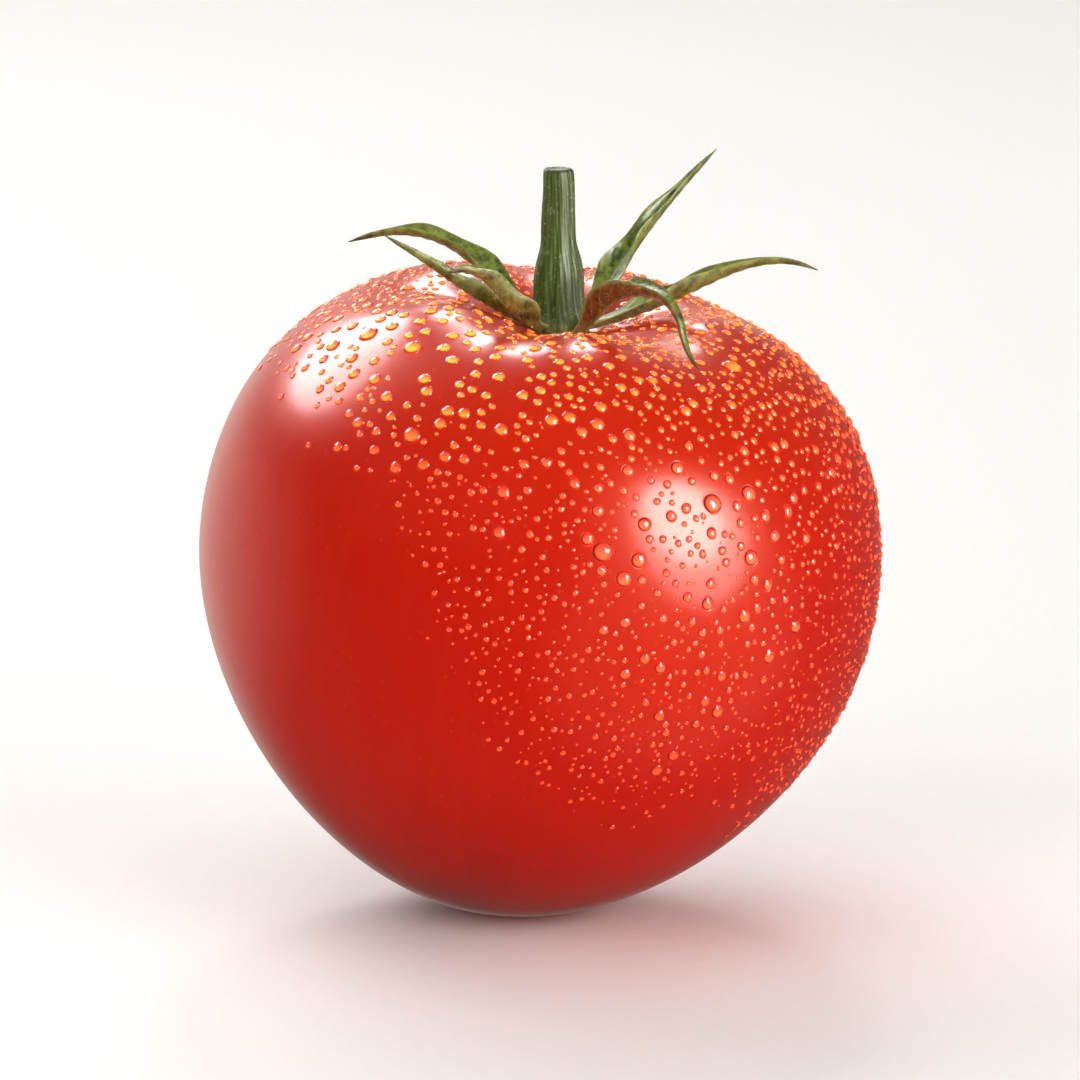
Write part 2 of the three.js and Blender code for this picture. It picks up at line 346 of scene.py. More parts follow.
def downy_stem():
    """Green stem skin: ribbed, satin and thinly covered in down, with pale flecks and a dry cut rim."""
    material, tree, output = new_material("downy_stem")
    place = add(tree, "ShaderNodeTexCoord").outputs["Object"]
    shaft = add(tree, "ShaderNodeAttribute", attribute_name="shaft")
    height = add(tree, "ShaderNodeSeparateXYZ", {0: shaft.outputs["Vector"]}).outputs["Z"]
    # Fibres about 0.25 mm wide that run up the stem.
    fibre_way = add(tree, "ShaderNodeVectorMath", {0: shaft.outputs["Vector"], 1: (9.0, 9.0, 3.0)},
                    operation="MULTIPLY")
    fibres = add(tree, "ShaderNodeTexNoise", {"Vector": fibre_way.outputs[0], "Scale": 1.6, "Detail": 4.0,
                                              "Roughness": 0.65})
    flecks = add(tree, "ShaderNodeTexNoise", {"Vector": place, "Scale": 1500.0, "Detail": 3.0})
    fibre = soft_step(tree, fibres.outputs["Fac"], 0.32, 0.7)
    colour = blend(tree, fibre, linear("#2a3708"), linear("#536618"))
    colour = blend(tree, soft_step(tree, flecks.outputs["Fac"], 0.58, 0.75, 0.4), colour, linear("#8c9a58"))
    colour = blend(tree, soft_step(tree, height, 0.09, 0.0, 0.6), colour, linear("#7f8a45"))
    colour = blend(tree, soft_step(tree, height, 0.965, 1.0), colour, linear("#2c2f14"))
    colour = blend(tree, soft_step(tree, height, 1.02, 1.1), colour, linear("#56632f"))
    bump = add(tree, "ShaderNodeBump", {"Strength": 0.45, "Distance": 0.00006,
                                        "Height": fibres.outputs["Fac"]})
    shader = add(tree, "ShaderNodeBsdfPrincipled", {
        "Base Color": colour, "Roughness": 0.52, "IOR": 1.42, "Sheen Weight": 0.06,
        "Sheen Roughness": 0.4, "Sheen Tint": linear("#c8d0a0"), "Subsurface Weight": 0.06,
        "Subsurface Radius": (0.5, 1.0, 0.25), "Subsurface Scale": 0.0008, "Normal": bump.outputs[0]})
    tree.links.new(shader.outputs[0], output.inputs[0])
    return material


def veined_sepal():
    """Sepal leaf: thin, satin and downy. Dark green above with a pale midrib, faint side veins and
    paler blotches, olive to brown below, and dry along its edge and at its tip."""
    material, tree, output = new_material("veined_sepal")
    place = add(tree, "ShaderNodeTexCoord").outputs["Object"]
    blade = add(tree, "ShaderNodeAttribute", attribute_name="blade")
    dryness = add(tree, "ShaderNodeAttribute", attribute_name="dryness").outputs["Fac"]
    parts = add(tree, "ShaderNodeSeparateXYZ", {0: blade.outputs["Vector"]})
    across, along, face = parts.outputs["X"], parts.outputs["Y"], parts.outputs["Z"]
    out = add(tree, "ShaderNodeMath", {0: across}, operation="ABSOLUTE").outputs[0]
    mottle = add(tree, "ShaderNodeTexNoise", {"Vector": place, "Scale": 900.0, "Detail": 4.0,
                                              "Roughness": 0.6})
    # Blotches about 2 mm long.
    blotches = add(tree, "ShaderNodeTexNoise", {"Vector": place, "Scale": 520.0, "Detail": 2.0,
                                                "Roughness": 0.55})
    # Side veins 1 to 1.6 mm apart that sweep forward from the midrib.
    sweep = add(tree, "ShaderNodeMath", {0: out, 1: -0.16, 2: along}, operation="MULTIPLY_ADD")
    beat = add(tree, "ShaderNodeMath", {0: sweep.outputs[0], 1: 88.0}, operation="MULTIPLY")
    vein = add(tree, "ShaderNodeMath", {0: beat.outputs[0]}, operation="SINE")
    vein = soft_step(tree, vein.outputs[0], 0.7, 1.0, 0.16)
    rib = soft_step(tree, out, 0.16, 0.04, 0.5)
    lines = add(tree, "ShaderNodeMath", {0: vein, 1: rib}, operation="MAXIMUM").outputs[0]

    tone = soft_step(tree, mottle.outputs["Fac"], 0.32, 0.68)
    above = blend(tree, tone, linear("#31410a"), linear("#8c9c38"))
    fresh = blend(tree, tone, linear("#39430e"), linear("#788330"))
    dry = blend(tree, tone, linear("#522c0c"), linear("#8a5a28"))
    below = blend(tree, dryness, fresh, dry)
    colour = blend(tree, soft_step(tree, face, 0.15, -0.15), above, below)
    pale = soft_step(tree, blotches.outputs["Fac"], 0.47, 0.64, 0.5)
    fresher = soft_step(tree, dryness, 1.0, 0.0)
    blotch = add(tree, "ShaderNodeMath", {0: pale, 1: fresher}, operation="MULTIPLY").outputs[0]
    colour = blend(tree, blotch, colour, linear("#98a75c"))
    colour = blend(tree, lines, colour, linear("#93a35c"))
    colour = blend(tree, soft_step(tree, out, 0.84, 1.0, 0.4), colour, linear("#a9ac6c"))
    colour = blend(tree, soft_step(tree, along, 0.12, 0.0, 0.5), colour, linear("#a0a65c"))
    colour = blend(tree, soft_step(tree, along, 0.8, 1.0, 0.7), colour, linear("#2f3510"))
    relief = add(tree, "ShaderNodeMath", {0: mottle.outputs["Fac"], 1: lines}, operation="SUBTRACT")
    bump = add(tree, "ShaderNodeBump", {"Strength": 0.7, "Distance": 0.00008, "Height": relief.outputs[0]})
    shader = add(tree, "ShaderNodeBsdfPrincipled", {
        "Base Color": colour, "Roughness": 0.38, "IOR": 1.45, "Sheen Weight": 0.04,
        "Sheen Roughness": 0.4, "Sheen Tint": linear("#d4dab0"), "Subsurface Weight": 0.1,
        "Subsurface Radius": (0.6, 1.0, 0.25), "Subsurface Scale": 0.0006, "Normal": bump.outputs[0]})
    tree.links.new(shader.outputs[0], output.inputs[0])
    return material


def pale_down():
    """Plant hairs: fine clear cells that scatter light, so they read as a pale fuzz."""
    material, tree, output = new_material("pale_down")
    place = add(tree, "ShaderNodeTexCoord").outputs["Object"]
    drift = add(tree, "ShaderNodeTexNoise", {"Vector": place, "Scale": 300.0, "Detail": 1.0})
    colour = blend(tree, drift.outputs["Fac"], linear("#b9c08e"), linear("#eef0d8"))
    shader = add(tree, "ShaderNodeBsdfPrincipled", {
        "Base Color": colour, "Roughness": 0.45, "IOR": 1.45, "Subsurface Weight": 0.2,
        "Subsurface Radius": (1.0, 1.0, 0.7), "Subsurface Scale": 0.0003})
    tree.links.new(shader.outputs[0], output.inputs[0])
    return material


def clear_water():
    """Clean water drops: clear and perfectly smooth, so each shows a sharp light and a lens of skin.
    Light passes straight through to the skin below, so a drop doesn't shade it."""
    material, tree, output = new_material("clear_water")
    water = add(tree, "ShaderNodeBsdfPrincipled", {
        "Base Color": linear("#ffffff"), "Roughness": 0.0, "IOR": 1.333, "Transmission Weight": 1.0})
    open_air = add(tree, "ShaderNodeBsdfTransparent")
    ray = add(tree, "ShaderNodeLightPath")
    mix = add(tree, "ShaderNodeMixShader", {0: ray.outputs["Is Shadow Ray"], 1: water.outputs[0],
                                            2: open_air.outputs[0]})
    tree.links.new(mix.outputs[0], output.inputs[0])
    return material


def painted_drop_glow():
    """Painted light under a drop: a disc whose colour stands in for the light the drop gathers, a
    golden-orange glow on its lower side, painted deep-red shade under its upper edge and a painted dark rim."""
    material, tree, output = new_material("painted_drop_glow")
    gleam = add(tree, "ShaderNodeAttribute", attribute_name="gleam")
    parts = add(tree, "ShaderNodeSeparateXYZ", {0: gleam.outputs["Vector"]})
    low_side, painted_glow_share, out = parts.outputs["X"], parts.outputs["Y"], parts.outputs["Z"]
    # Painted light: the lower side glows orange to gold, and the upper side keeps a painted deep-red shade.
    lit = blend(tree, painted_glow_share, linear("#e8461a"), linear("#ef8e1c"))
    colour = blend(tree, soft_step(tree, low_side, -0.75, 0.45), linear("#a81c0a"), lit)
    # Painted shade: a dark rim, standing in for the dark outline at a drop's edge.
    colour = blend(tree, soft_step(tree, out, 0.5, 0.87, 0.85), colour, linear("#861806"))
    shader = add(tree, "ShaderNodeBsdfPrincipled", {"Base Color": colour, "Roughness": 0.6,
                                                    "Specular IOR Level": 0.1})
    tree.links.new(shader.outputs[0], output.inputs[0])
    return material


# ---------------------------------------------------------------- the fruit
def make_fruit(material):
    """The skin on a grid of turns and even steps along the outline, with a pole at each end."""
    around, rings = 384, 238
    share = (np.arange(rings) + 1) / (rings + 1)
    turn, along = np.meshgrid(turns_round(around), share)
    points = skin(turn, along).reshape(-1, 3)
    poles = skin(np.zeros(2), np.array([0.0, 1.0]))
    points = np.concatenate([points, poles])
    turns = np.concatenate([turn.ravel(), [0, 0]])
    shares = np.concatenate([along.ravel(), [0, 1]])
    growth = np.stack([np.cos(turns), np.sin(turns), 1 - shares], axis=-1)
    away = np.linalg.norm(points - SEAT, axis=-1)
    stem_end = np.exp(-((away / STEM_END_RADIUS) ** 4))
    scar = np.linalg.norm(points - poles[1], axis=-1)
    blossom_end = np.exp(-((scar / 1.1) ** 4))
    faces = [block[:, ::-1] for block in tube_faces(rings, around)]
    return mesh_object("fruit_skin", points, faces, material, growth=growth, stem_end=stem_end,
                       blossom_end=blossom_end)


# ---------------------------------------------------------------- the stem
STEM_LENGTH = 16.0
STEM_PROFILE = [  # share of the height, radius
    (0.0, 3.0), (0.028, 3.4), (0.062, 3.2), (0.106, 2.62), (0.2, 2.5), (0.34, 2.45), (0.43, 2.15),
    (0.53, 1.72), (0.68, 1.66), (0.84, 1.55), (0.975, 1.5), (1.0, 1.4),
]
RECEPTACLE_HEIGHT = 1.7
STEM_RIBS = 5


def make_stem(material):
    """A turned profile with five soft ribs and finer ones between, which swells at its foot. The
    first ring follows the floor of the hollow, and the cut is a shallow dish with a pale pith."""
    around, rings = 120, 150
    share, radius = np.array(STEM_PROFILE).T
    height = np.linspace(0, 1, rings)
    radius = np.interp(height, share, radius)
    bell = np.exp(-0.5 * (np.arange(-9, 10) / 3.5) ** 2)
    padded = np.pad(radius, 9, mode="edge")
    radius = np.convolve(padded, bell / bell.sum(), "valid")
    radius *= 1 - 0.1 * smooth(0.985, 1.0, height)
    cut_radius = radius[-1] * np.array([0.86, 0.7, 0.45, 0.2])
    radius = np.concatenate([radius, cut_radius])
    level = np.concatenate([height * STEM_LENGTH, STEM_LENGTH - np.array([0.02, 0.12, 0.18, 0.2])])
    marker = np.concatenate([height, [1.0, 1.04, 1.1, 1.1]])
    turn, level = np.meshgrid(turns_round(around), level)
    radius = np.broadcast_to(radius[:, None], turn.shape)
    marker = np.broadcast_to(marker[:, None], turn.shape)
    ribs = 0.05 * np.cos(STEM_RIBS * turn) + 0.018 * np.cos(13 * turn + 2 * np.sin(level * 0.4))
    ribs += 0.012 * np.cos(29 * turn + 0.9 * level)
    ribs *= smooth(1.06, 1.0, marker)
    lumps = 0.04 * np.sin(level * 0.9 + 1.7 * np.cos(turn)) * smooth(0, 2, level)
    reach = radius * (1 + ribs) + lumps
    x, y = SEAT[0] + reach * np.cos(turn), SEAT[1] + reach * np.sin(turn)
    follow = np.clip(1 - level / RECEPTACLE_HEIGHT, 0, 1) * (crown_height(x, y) - SEAT[2])
    lift = stem_high[2] / MM - STEM_LENGTH
    points = np.stack([x, y, lift + level + follow], axis=-1).reshape(-1, 3)
    ends = np.array([[SEAT[0], SEAT[1], lift], [SEAT[0], SEAT[1], lift + STEM_LENGTH - 0.2]])
    shaft = np.stack([np.cos(turn), np.sin(turn), marker], axis=-1).reshape(-1, 3)
    shaft = np.concatenate([shaft, [[0, 0, 0], [0, 0, 1.1]]])
    faces = tube_faces(len(level), around)
    return mesh_object("stem_skin", np.concatenate([points, ends]), faces, material, shaft=shaft)


# ---------------------------------------------------------------- the sepals
RECEPTACLE_EDGE = 3.4 * 1.05 + 0.35  # its radius with its ribs, and a clearance
SEPAL_ROOT_WIDTH = 0.9
SEPAL_REST = 0.45 + 0.34  # a clearance over the skin, and half a sepal's thickness
SEPAL_SHOULDER = 0.26
SEPAL_OVERLAP = 1.3  # how far a root runs back into the receptacle
DRYNESS = {"sepal_front_right": 1.0, "sepal_front_left": 0.35}
SEPALS = {  # azimuth, length, half width, fold, roll, sway, slopes from root to tip
    "sepal_right": (3, 23, 1.9, 38, 10, 0, (12, 19, 25, 23, 4, -26)),
    "sepal_back_right": (40, 22.4, 2.2, 30, 8, -4, (44, 47, 45, 41, 39, 38)),
    "sepal_back_left": (152, 21.5, 2.0, 34, -20, 4, (34, 38, 30, 8, -10, -20)),
    "sepal_left": (196, 16, 1.5, 36, 0, -6, (22, 30, 34, 35, 34, 31)),
    "sepal_front_left": (236, 14.5, 2.4, 38, -12, -38, (22, 30, 42, 43, 18, -20)),
    "sepal_front_right": (306, 23, 2.2, 26, 0, 8, (38, 38, 12, -8, -74, -30)),
}


def midrib(azimuth, length, sway, slopes, steps):
    """Points along a sepal's midrib: strides that climb by the slopes and swing by the sway, added
    up, and never nearer the fruit than its rest height."""
    t = (np.arange(steps) + 0.5) / steps
    slope = np.radians(np.interp(t, np.linspace(0, 1, len(slopes)), slopes))
    turn = np.radians(azimuth + sway * t * t)
    stride = length / steps
    start = np.array([math.cos(math.radians(azimuth)), math.sin(math.radians(azimuth))]) * RECEPTACLE_EDGE
    x = SEAT[0] + start[0] + np.concatenate([[0], np.cumsum(stride * np.cos(slope) * np.cos(turn))])
    y = SEAT[1] + start[1] + np.concatenate([[0], np.cumsum(stride * np.cos(slope) * np.sin(turn))])
    climb = SEAT[2] + np.concatenate([[0], np.cumsum(stride * np.sin(slope))])
    rest = crown_height(x, y) + SEPAL_REST
    z = climb + np.maximum.accumulate(np.maximum(0, rest - climb))
    bell = np.exp(-0.5 * (np.arange(-6, 7) / 2.5) ** 2)
    bell /= bell.sum()
    padded = np.pad(z, 6, mode="reflect", reflect_type="odd")
    return np.stack([x, y, np.convolve(padded, bell, "valid")], axis=-1)


def sepal_half_width(width, t):
    """From the root's half width to the full one by an S curve, then a long taper to a fine tip."""
    spread = SEPAL_ROOT_WIDTH + (width - SEPAL_ROOT_WIDTH) * smooth(0, SEPAL_SHOULDER, t)
    return np.maximum(0.05, spread * np.minimum(1, ((1 - t) / (1 - SEPAL_SHOULDER)).clip(0) ** 0.95))


def make_sepal(name, material):
    """A thin lens section carried along the midrib. Its halves fold up about the midrib and curl in
    at their edges, the edge waves, the midrib stands out below, and the tip is drawn out fine."""
    azimuth, length, width, fold, roll, sway, slopes = SEPALS[name]
    steps, around = 110, 44
    spine = midrib(azimuth, length, sway, slopes, steps)
    first = unit(spine[1] - spine[0])
    root = spine[0] - np.linspace(1, 0.2, 5)[:, None] * SEPAL_OVERLAP * first
    spine = np.concatenate([root, spine])
    t = np.concatenate([np.zeros(5), np.linspace(0, 1, steps + 1)])
    tangent = unit(np.gradient(spine, axis=0))
    side = unit(np.stack([tangent[:, 1], -tangent[:, 0], np.zeros(len(t))], axis=-1))
    up = np.cross(side, tangent)
    angle = np.radians(roll) * smooth(0, SEPAL_SHOULDER, t)[:, None]
    side = side * np.cos(angle) + np.cross(tangent, side) * np.sin(angle)
    up = np.cross(side, tangent)

    turn, t = np.meshgrid(turns_round(around), t)
    a, b = np.cos(turn), np.sin(turn)
    half = sepal_half_width(width, t)
    phase = sepal_chance.uniform(0, math.tau, 4)
    half = half * (1 + 0.05 * np.sin(23 * t + phase[0] + 1.2 * np.sign(a)) * np.abs(a))
    bend = math.radians(fold) * smooth(-0.1, SEPAL_SHOULDER, t)
    curl = bend + 0.55 * (a * a) * smooth(0.1, 0.5, t)
    fall = np.sqrt(a * a + 0.012) - math.sqrt(0.012)
    wave = 0.16 * half * a * a * np.sin(15 * t + phase[1] + 1.9 * (a > 0)) * smooth(0.1, 0.4, t)
    thickness = 0.3 * (1 - 0.55 * t) * np.minimum(1, 12 * (1.004 - t))
    keel = 0.3 * np.exp(-((a / 0.13) ** 2)) * (b < 0) * (1 - 0.7 * t)
    veins = 0.035 * np.sin(88 * (t - 0.16 * np.abs(a)))
    across = half * a * np.cos(curl)
    raised = half * fall * np.sin(curl) + wave + thickness * b - keel * np.abs(b) + veins * b * half
    points = spine[:, None] + side[:, None] * across[..., None] + up[:, None] * raised[..., None]
    ends = np.stack([spine[0], spine[-1] + tangent[-1] * 0.15])
    blade = np.stack([a, t, b], axis=-1).reshape(-1, 3)
    blade = np.concatenate([blade, [[0, 0, 0], [0, 1, 0]]])
    faces = [block[:, ::-1] for block in tube_faces(len(spine), around)]
    points = np.concatenate([points.reshape(-1, 3), ends])
    dryness = np.full(len(points), DRYNESS.get(name, 0.15))
    return mesh_object(name + "_blade", points, faces, material, blade=blade, dryness=dryness)


# ---------------------------------------------------------------- down on the stem and the sepals
def make_down(host, name, count, length, material, seed):
    """Hairs on a piece: a slim three-sided spike at random faces, leaning a little off the normal."""
    source = np.random.default_rng(seed)
    mesh = host.data
    size = len(mesh.polygons)
    centres, normals, areas = np.empty(size * 3), np.empty(size * 3), np.empty(size)
    mesh.polygons.foreach_get("center", centres)
    mesh.polygons.foreach_get("normal", normals)
    mesh.polygons.foreach_get("area", areas)
    chosen = source.choice(size, count, p=areas / areas.sum())
    foot = centres.reshape(-1, 3)[chosen] / MM
    out = unit(normals.reshape(-1, 3)[chosen] + source.normal(0, 0.28, (count, 3)))
    side = unit(np.cross(out, source.normal(0, 1, (count, 3))))
    other = np.cross(out, side)
    tall = length * source.uniform(0.45, 1.0, (count, 1))
    thick = 0.028
    turns = turns_round(3)
    ring = side[:, None] * np.cos(turns)[:, None] + other[:, None] * np.sin(turns)[:, None]
    base = (foot - out * 0.05)[:, None] + ring * thick
    tip = (foot + out * tall)[:, None]
    points = np.concatenate([base, tip], axis=1).reshape(-1, 3)
    walls = np.array([[0, 1, 3], [1, 2, 3], [2, 0, 3], [2, 1, 0]])
    return mesh_object(name, points, repeated([walls], count, 4), material)


# ---------------------------------------------------------------- water drops
def skin_frames(turn, along):
    """Points on the skin with their outward normals, from small steps along and around it."""
    step = 1e-4
    here = skin(turn, along)
    round_it = skin(turn + step, along) - here
    down_it = skin(turn, np.minimum(1, along + step)) - here
    return here, unit(np.cross(down_it, round_it))


def side_angle(points):
    """The direction of each point round the stem, from the right-hand side."""
    return np.arctan2(points[:, 1], points[:, 0] - SEAT[0])


def dry_side(points):
    """1 on the left and half of the back, where less mist has reached, and 0 on the right."""
    return smooth(-0.05, 0.75, np.cos(side_angle(points) - math.radians(185)))


def left_end(points):
    """1 on the far left, where the mist has only reached the top, and 0 elsewhere."""
    return smooth(0.55, 0.95, np.cos(side_angle(points) - math.radians(184)))


def shoulder(points):
    """1 over the crown, falling to 0 below the shoulder, and sooner on the dry side."""
    return smooth(38, 54, points[:, 2] - 9 * dry_side(points) - 7 * left_end(points))


def wetness(points):
    """Share of the skin that the mist has reached: all of the crown, low on the right-hand side and
    only the shoulder on the left, with an uneven edge and thinner patches."""
    side = side_angle(points)
    edge = 12 + 38 * dry_side(points) + 9 * left_end(points)
    edge = edge + 2.5 * np.sin(5 * side + 1) + 1.5 * np.sin(11 * side)
    patches = 0.8 + 0.2 * np.sin(0.3 * points[:, 0] + 1.3) * np.cos(0.27 * points[:, 2] - 0.4 + 2 * side)
    return smooth(0, 10, points[:, 2] - edge) * np.maximum(patches, smooth(46, 55, points[:, 2]))


def near(points, direction, angle):
    """1 towards a direction from the fruit's middle, falling off as a bell curve of the angle."""
    away = np.arccos(np.clip(unit(points - np.array(CENTRE) / MM) @ unit(np.array(direction)), -1, 1))
    return np.exp(-((away / math.radians(angle)) ** 2))


def drop_weight(points):
    """Where the drops have run together into large ones: two sides of the fruit and the crown."""
    front = near(points, (0.42, -0.87, 0.24), 15) + 0.8 * near(points, (-0.45, -0.41, 0.8), 15)
    front += 0.35 * near(points, (0.5, -0.86, -0.1), 13)
    back = near(points, (0.3, 0.8, 0.5), 24) + near(points, (0.75, 0.62, 0.2), 20)
    return np.clip(front + 0.35 * back + 0.1 * shoulder(points) - 0.03, 0, 1)


def painted_gold_region(points):
    """1 on the crown in front of the stem and to its left, where the discs under the drops get the most
    painted golden glow, standing in for light from behind gathered in the drops; the crown beads gather there
    too."""
    return near(points, (-0.3, -0.5, 0.82), 26)


def scatter(source, tries, spacing, radius, weight):
    """Places for drops with their radii, kept by the weight, at most one in each cube of the spacing."""
    turn = source.uniform(0, math.tau, tries)
    along = np.arccos(source.uniform(-1, 1, tries)) / math.pi
    points, normals = skin_frames(turn, along)
    clear = np.hypot(points[:, 0] - SEAT[0], points[:, 1] - SEAT[1]) > STEM_END_RADIUS
    chosen = source.uniform(0, 1, tries) < weight(points)
    keep = np.flatnonzero(clear & chosen & (points[:, 2] > LOWEST_DROP))
    keep = keep[np.unique(np.floor(points[keep] / spacing), axis=0, return_index=True)[1]]
    size = radius[0] + (radius[1] - radius[0]) * source.uniform(0, 1, len(keep)) ** 1.6
    return points[keep], normals[keep], size


def spaced(points, normals, size):
    """Drops without the ones that would overlap a larger one. Rows are compared in blocks."""
    order = np.argsort(-size)
    points, normals, size = points[order].astype(np.float32), normals[order], size[order].astype(np.float32)
    keep = np.ones(len(size), dtype=bool)
    for start in range(0, len(size), 1000):
        block = slice(start, start + 1000)
        gaps = np.linalg.norm(points[block, None] - points[None, : start + 1000], axis=-1)
        reach = (size[block, None] + size[None, : start + 1000]) * 1.03 + 0.05
        keep[block] = ~np.tril(gaps < reach, start - 1).any(axis=1)
    return points[keep].astype(float), normals[keep], size[keep].astype(float)


def drop_axes(normals):
    """Unit vectors on the skin across and down the slope at each drop."""
    downhill = unit(np.array([0, 0, -1.0]) + normals * normals[:, 2:] + np.array([0, -1e-3, 0]))
    return np.cross(normals, downhill), downhill


def make_drops(name, drops, contact, around, rings, material, seed):
    """Drops as caps of a sphere that meet the skin at the contact angle, a little longer downhill and
    a little out of round, each closed by a shallow cone under the skin."""
    source = np.random.default_rng(seed)
    points, normals, size = drops
    count = len(points)
    across, downhill = drop_axes(normals)
    contact = math.radians(contact)
    angle = contact * (np.arange(rings) + 1) / rings
    turn = turns_round(around)
    out = np.sin(angle) / math.sin(contact)
    rise = (np.cos(angle) - math.cos(contact)) / math.sin(contact)
    cap = np.stack([np.outer(out, np.cos(turn)).ravel(), np.outer(out, np.sin(turn)).ravel(),
                    np.repeat(rise, around)], axis=-1)
    ends = np.array([[0, 0, (1 - math.cos(contact)) / math.sin(contact)], [0, 0, -0.2]])
    cap = np.concatenate([cap, ends])
    way = np.arctan2(cap[:, 1], cap[:, 0])
    wobble = 1 + 0.06 * np.cos(2 * way + source.uniform(0, math.tau, (count, 1)))
    wobble += 0.04 * np.cos(3 * way + source.uniform(0, math.tau, (count, 1)))
    stretch = 1 + 0.18 * source.uniform(0, 1, (count, 1)) * (1 - normals[:, 2:] ** 2)
    x, y = cap[:, 0] * wobble, cap[:, 1] * wobble * stretch
    z = cap[:, 2] * source.uniform(0.85, 1.1, (count, 1)) - 0.06
    body = x[..., None] * across[:, None] + y[..., None] * downhill[:, None] + z[..., None] * normals[:, None]
    body = points[:, None] + body * size[:, None, None]
    faces = repeated(tube_faces(rings, around), count, len(cap))
    return mesh_object(name, body.reshape(-1, 3), faces, material)


def make_gleams(name, drops, around, material):
    """A disc just over the skin in each drop, nine tenths of its width, on two rings, with a shallow cone
    under the skin that closes it. It carries the masks of the painted light: its downhill side for the
    painted glow and shade, a golden share that is largest where the skin faces up, and its distance out for
    the painted rim."""
    points, normals, size = drops
    count = len(points)
    across, downhill = drop_axes(normals)
    turn = turns_round(around)
    ring = np.stack([np.cos(turn), np.sin(turn)], axis=-1)
    disc = np.concatenate([ring * 0.5, ring * 0.87, [[0.0, 0.0], [0.0, 0.0]]])
    lift = (0.010 + 0.03 * size)[:, None] * np.append(np.ones(len(disc) - 1), -4.0)
    spot = disc[:, 0, None] * across[:, None] + disc[:, 1, None] * downhill[:, None]
    spot = points[:, None] + spot * size[:, None, None] + lift[..., None] * normals[:, None]
    # Painted light: more golden glow where the skin faces up, as if light from above gathered in the drop.
    painted_glow_share = smooth(0.35, 0.95, normals[:, 2:]) * (0.45 + 0.55 * painted_gold_region(points)[:, None])
    painted_glow_share = painted_glow_share + np.zeros(len(disc))
    gleam = np.stack([np.broadcast_to(disc[:, 1], painted_glow_share.shape), painted_glow_share,
                      np.broadcast_to(np.linalg.norm(disc, axis=-1), painted_glow_share.shape)], axis=-1)
    faces = repeated(tube_faces(2, around), count, len(disc))
    return mesh_object(name, spot.reshape(-1, 3), faces, material, gleam=gleam.reshape(-1, 3))


# ---------------------------------------------------------------- studio
def aim(item, target):
    """Points an object's -Z axis at a place, with its +Y axis up."""
    item.rotation_euler = (Vector(target) - item.location).to_track_quat("-Z", "Y").to_euler()


def make_light(name, azimuth, elevation, distance, width, height, radiance, shape="RECTANGLE",
               gloss=True, fill=True):
    """A soft box at angles, in degrees, round and above the fruit, whose face has the given radiance.
    Without gloss it doesn't show in reflections, and without fill it shows in nothing else."""
    data = bpy.data.lights.new(name, "AREA")
    data.shape = shape
    data.size, data.size_y = width, height
    data.energy = radiance * math.pi * width * height * (math.pi / 4 if shape == "ELLIPSE" else 1)
    light = bpy.data.objects.new(name, data)
    azimuth, elevation = math.radians(azimuth), math.radians(elevation)
    way = Vector((math.cos(elevation) * math.cos(azimuth), math.cos(elevation) * math.sin(azimuth),
                  math.sin(elevation)))
    light.location = Vector(CENTRE) + distance * way
    aim(light, CENTRE)
    light.visible_diffuse, light.visible_glossy = fill, gloss
    bpy.context.scene.collection.objects.link(light)
    return light


def paper_sweep():
    """Matt white studio paper with a faint grain, so the ground is plain and pale."""
    material, tree, output = new_material("paper_sweep")
    place = add(tree, "ShaderNodeTexCoord").outputs["Object"]
    grain = add(tree, "ShaderNodeTexNoise", {"Vector": place, "Scale": 900.0, "Detail": 2.0})
    colour = blend(tree, grain.outputs["Fac"], linear("#f4f3f1"), linear("#f8f8f7"))
    shader = add(tree, "ShaderNodeBsdfPrincipled", {"Base Color": colour, "Roughness": 0.6,
                                                    "Specular IOR Level": 0.3})
    tree.links.new(shader.outputs[0], output.inputs[0])
    return material


def make_floor(material):
    """A wide round sheet at table height."""
    around = 96
    turn = turns_round(around)
    rim = np.stack([np.cos(turn), np.sin(turn), np.zeros(around)], axis=-1) * (4.0 / MM)
    points = np.concatenate([rim, [[0, 0, 0]]])
    step = np.arange(around)
    faces = np.stack([np.full(around, around), step, (step + 1) % around], axis=-1)
    return mesh_object("floor", points, [faces], material)


def make_camera():
    """A long lens that looks level along +Y from a little above, with the whole tomato in view."""
    data = bpy.data.cameras.new("camera")
    camera = bpy.data.objects.new("camera", data)
    distance, elevation, view_width = 0.8, math.radians(11), 0.108
    target = Vector((CENTRE[0], CENTRE[1], (cad_box[0][2] + cad_box[1][2]) / 2))
    camera.location = target + distance * Vector((0, -math.cos(elevation), math.sin(elevation)))
    aim(camera, target)
    data.lens = data.sensor_width * distance / view_width
    bpy.context.scene.collection.objects.link(camera)
    bpy.context.scene.camera = camera


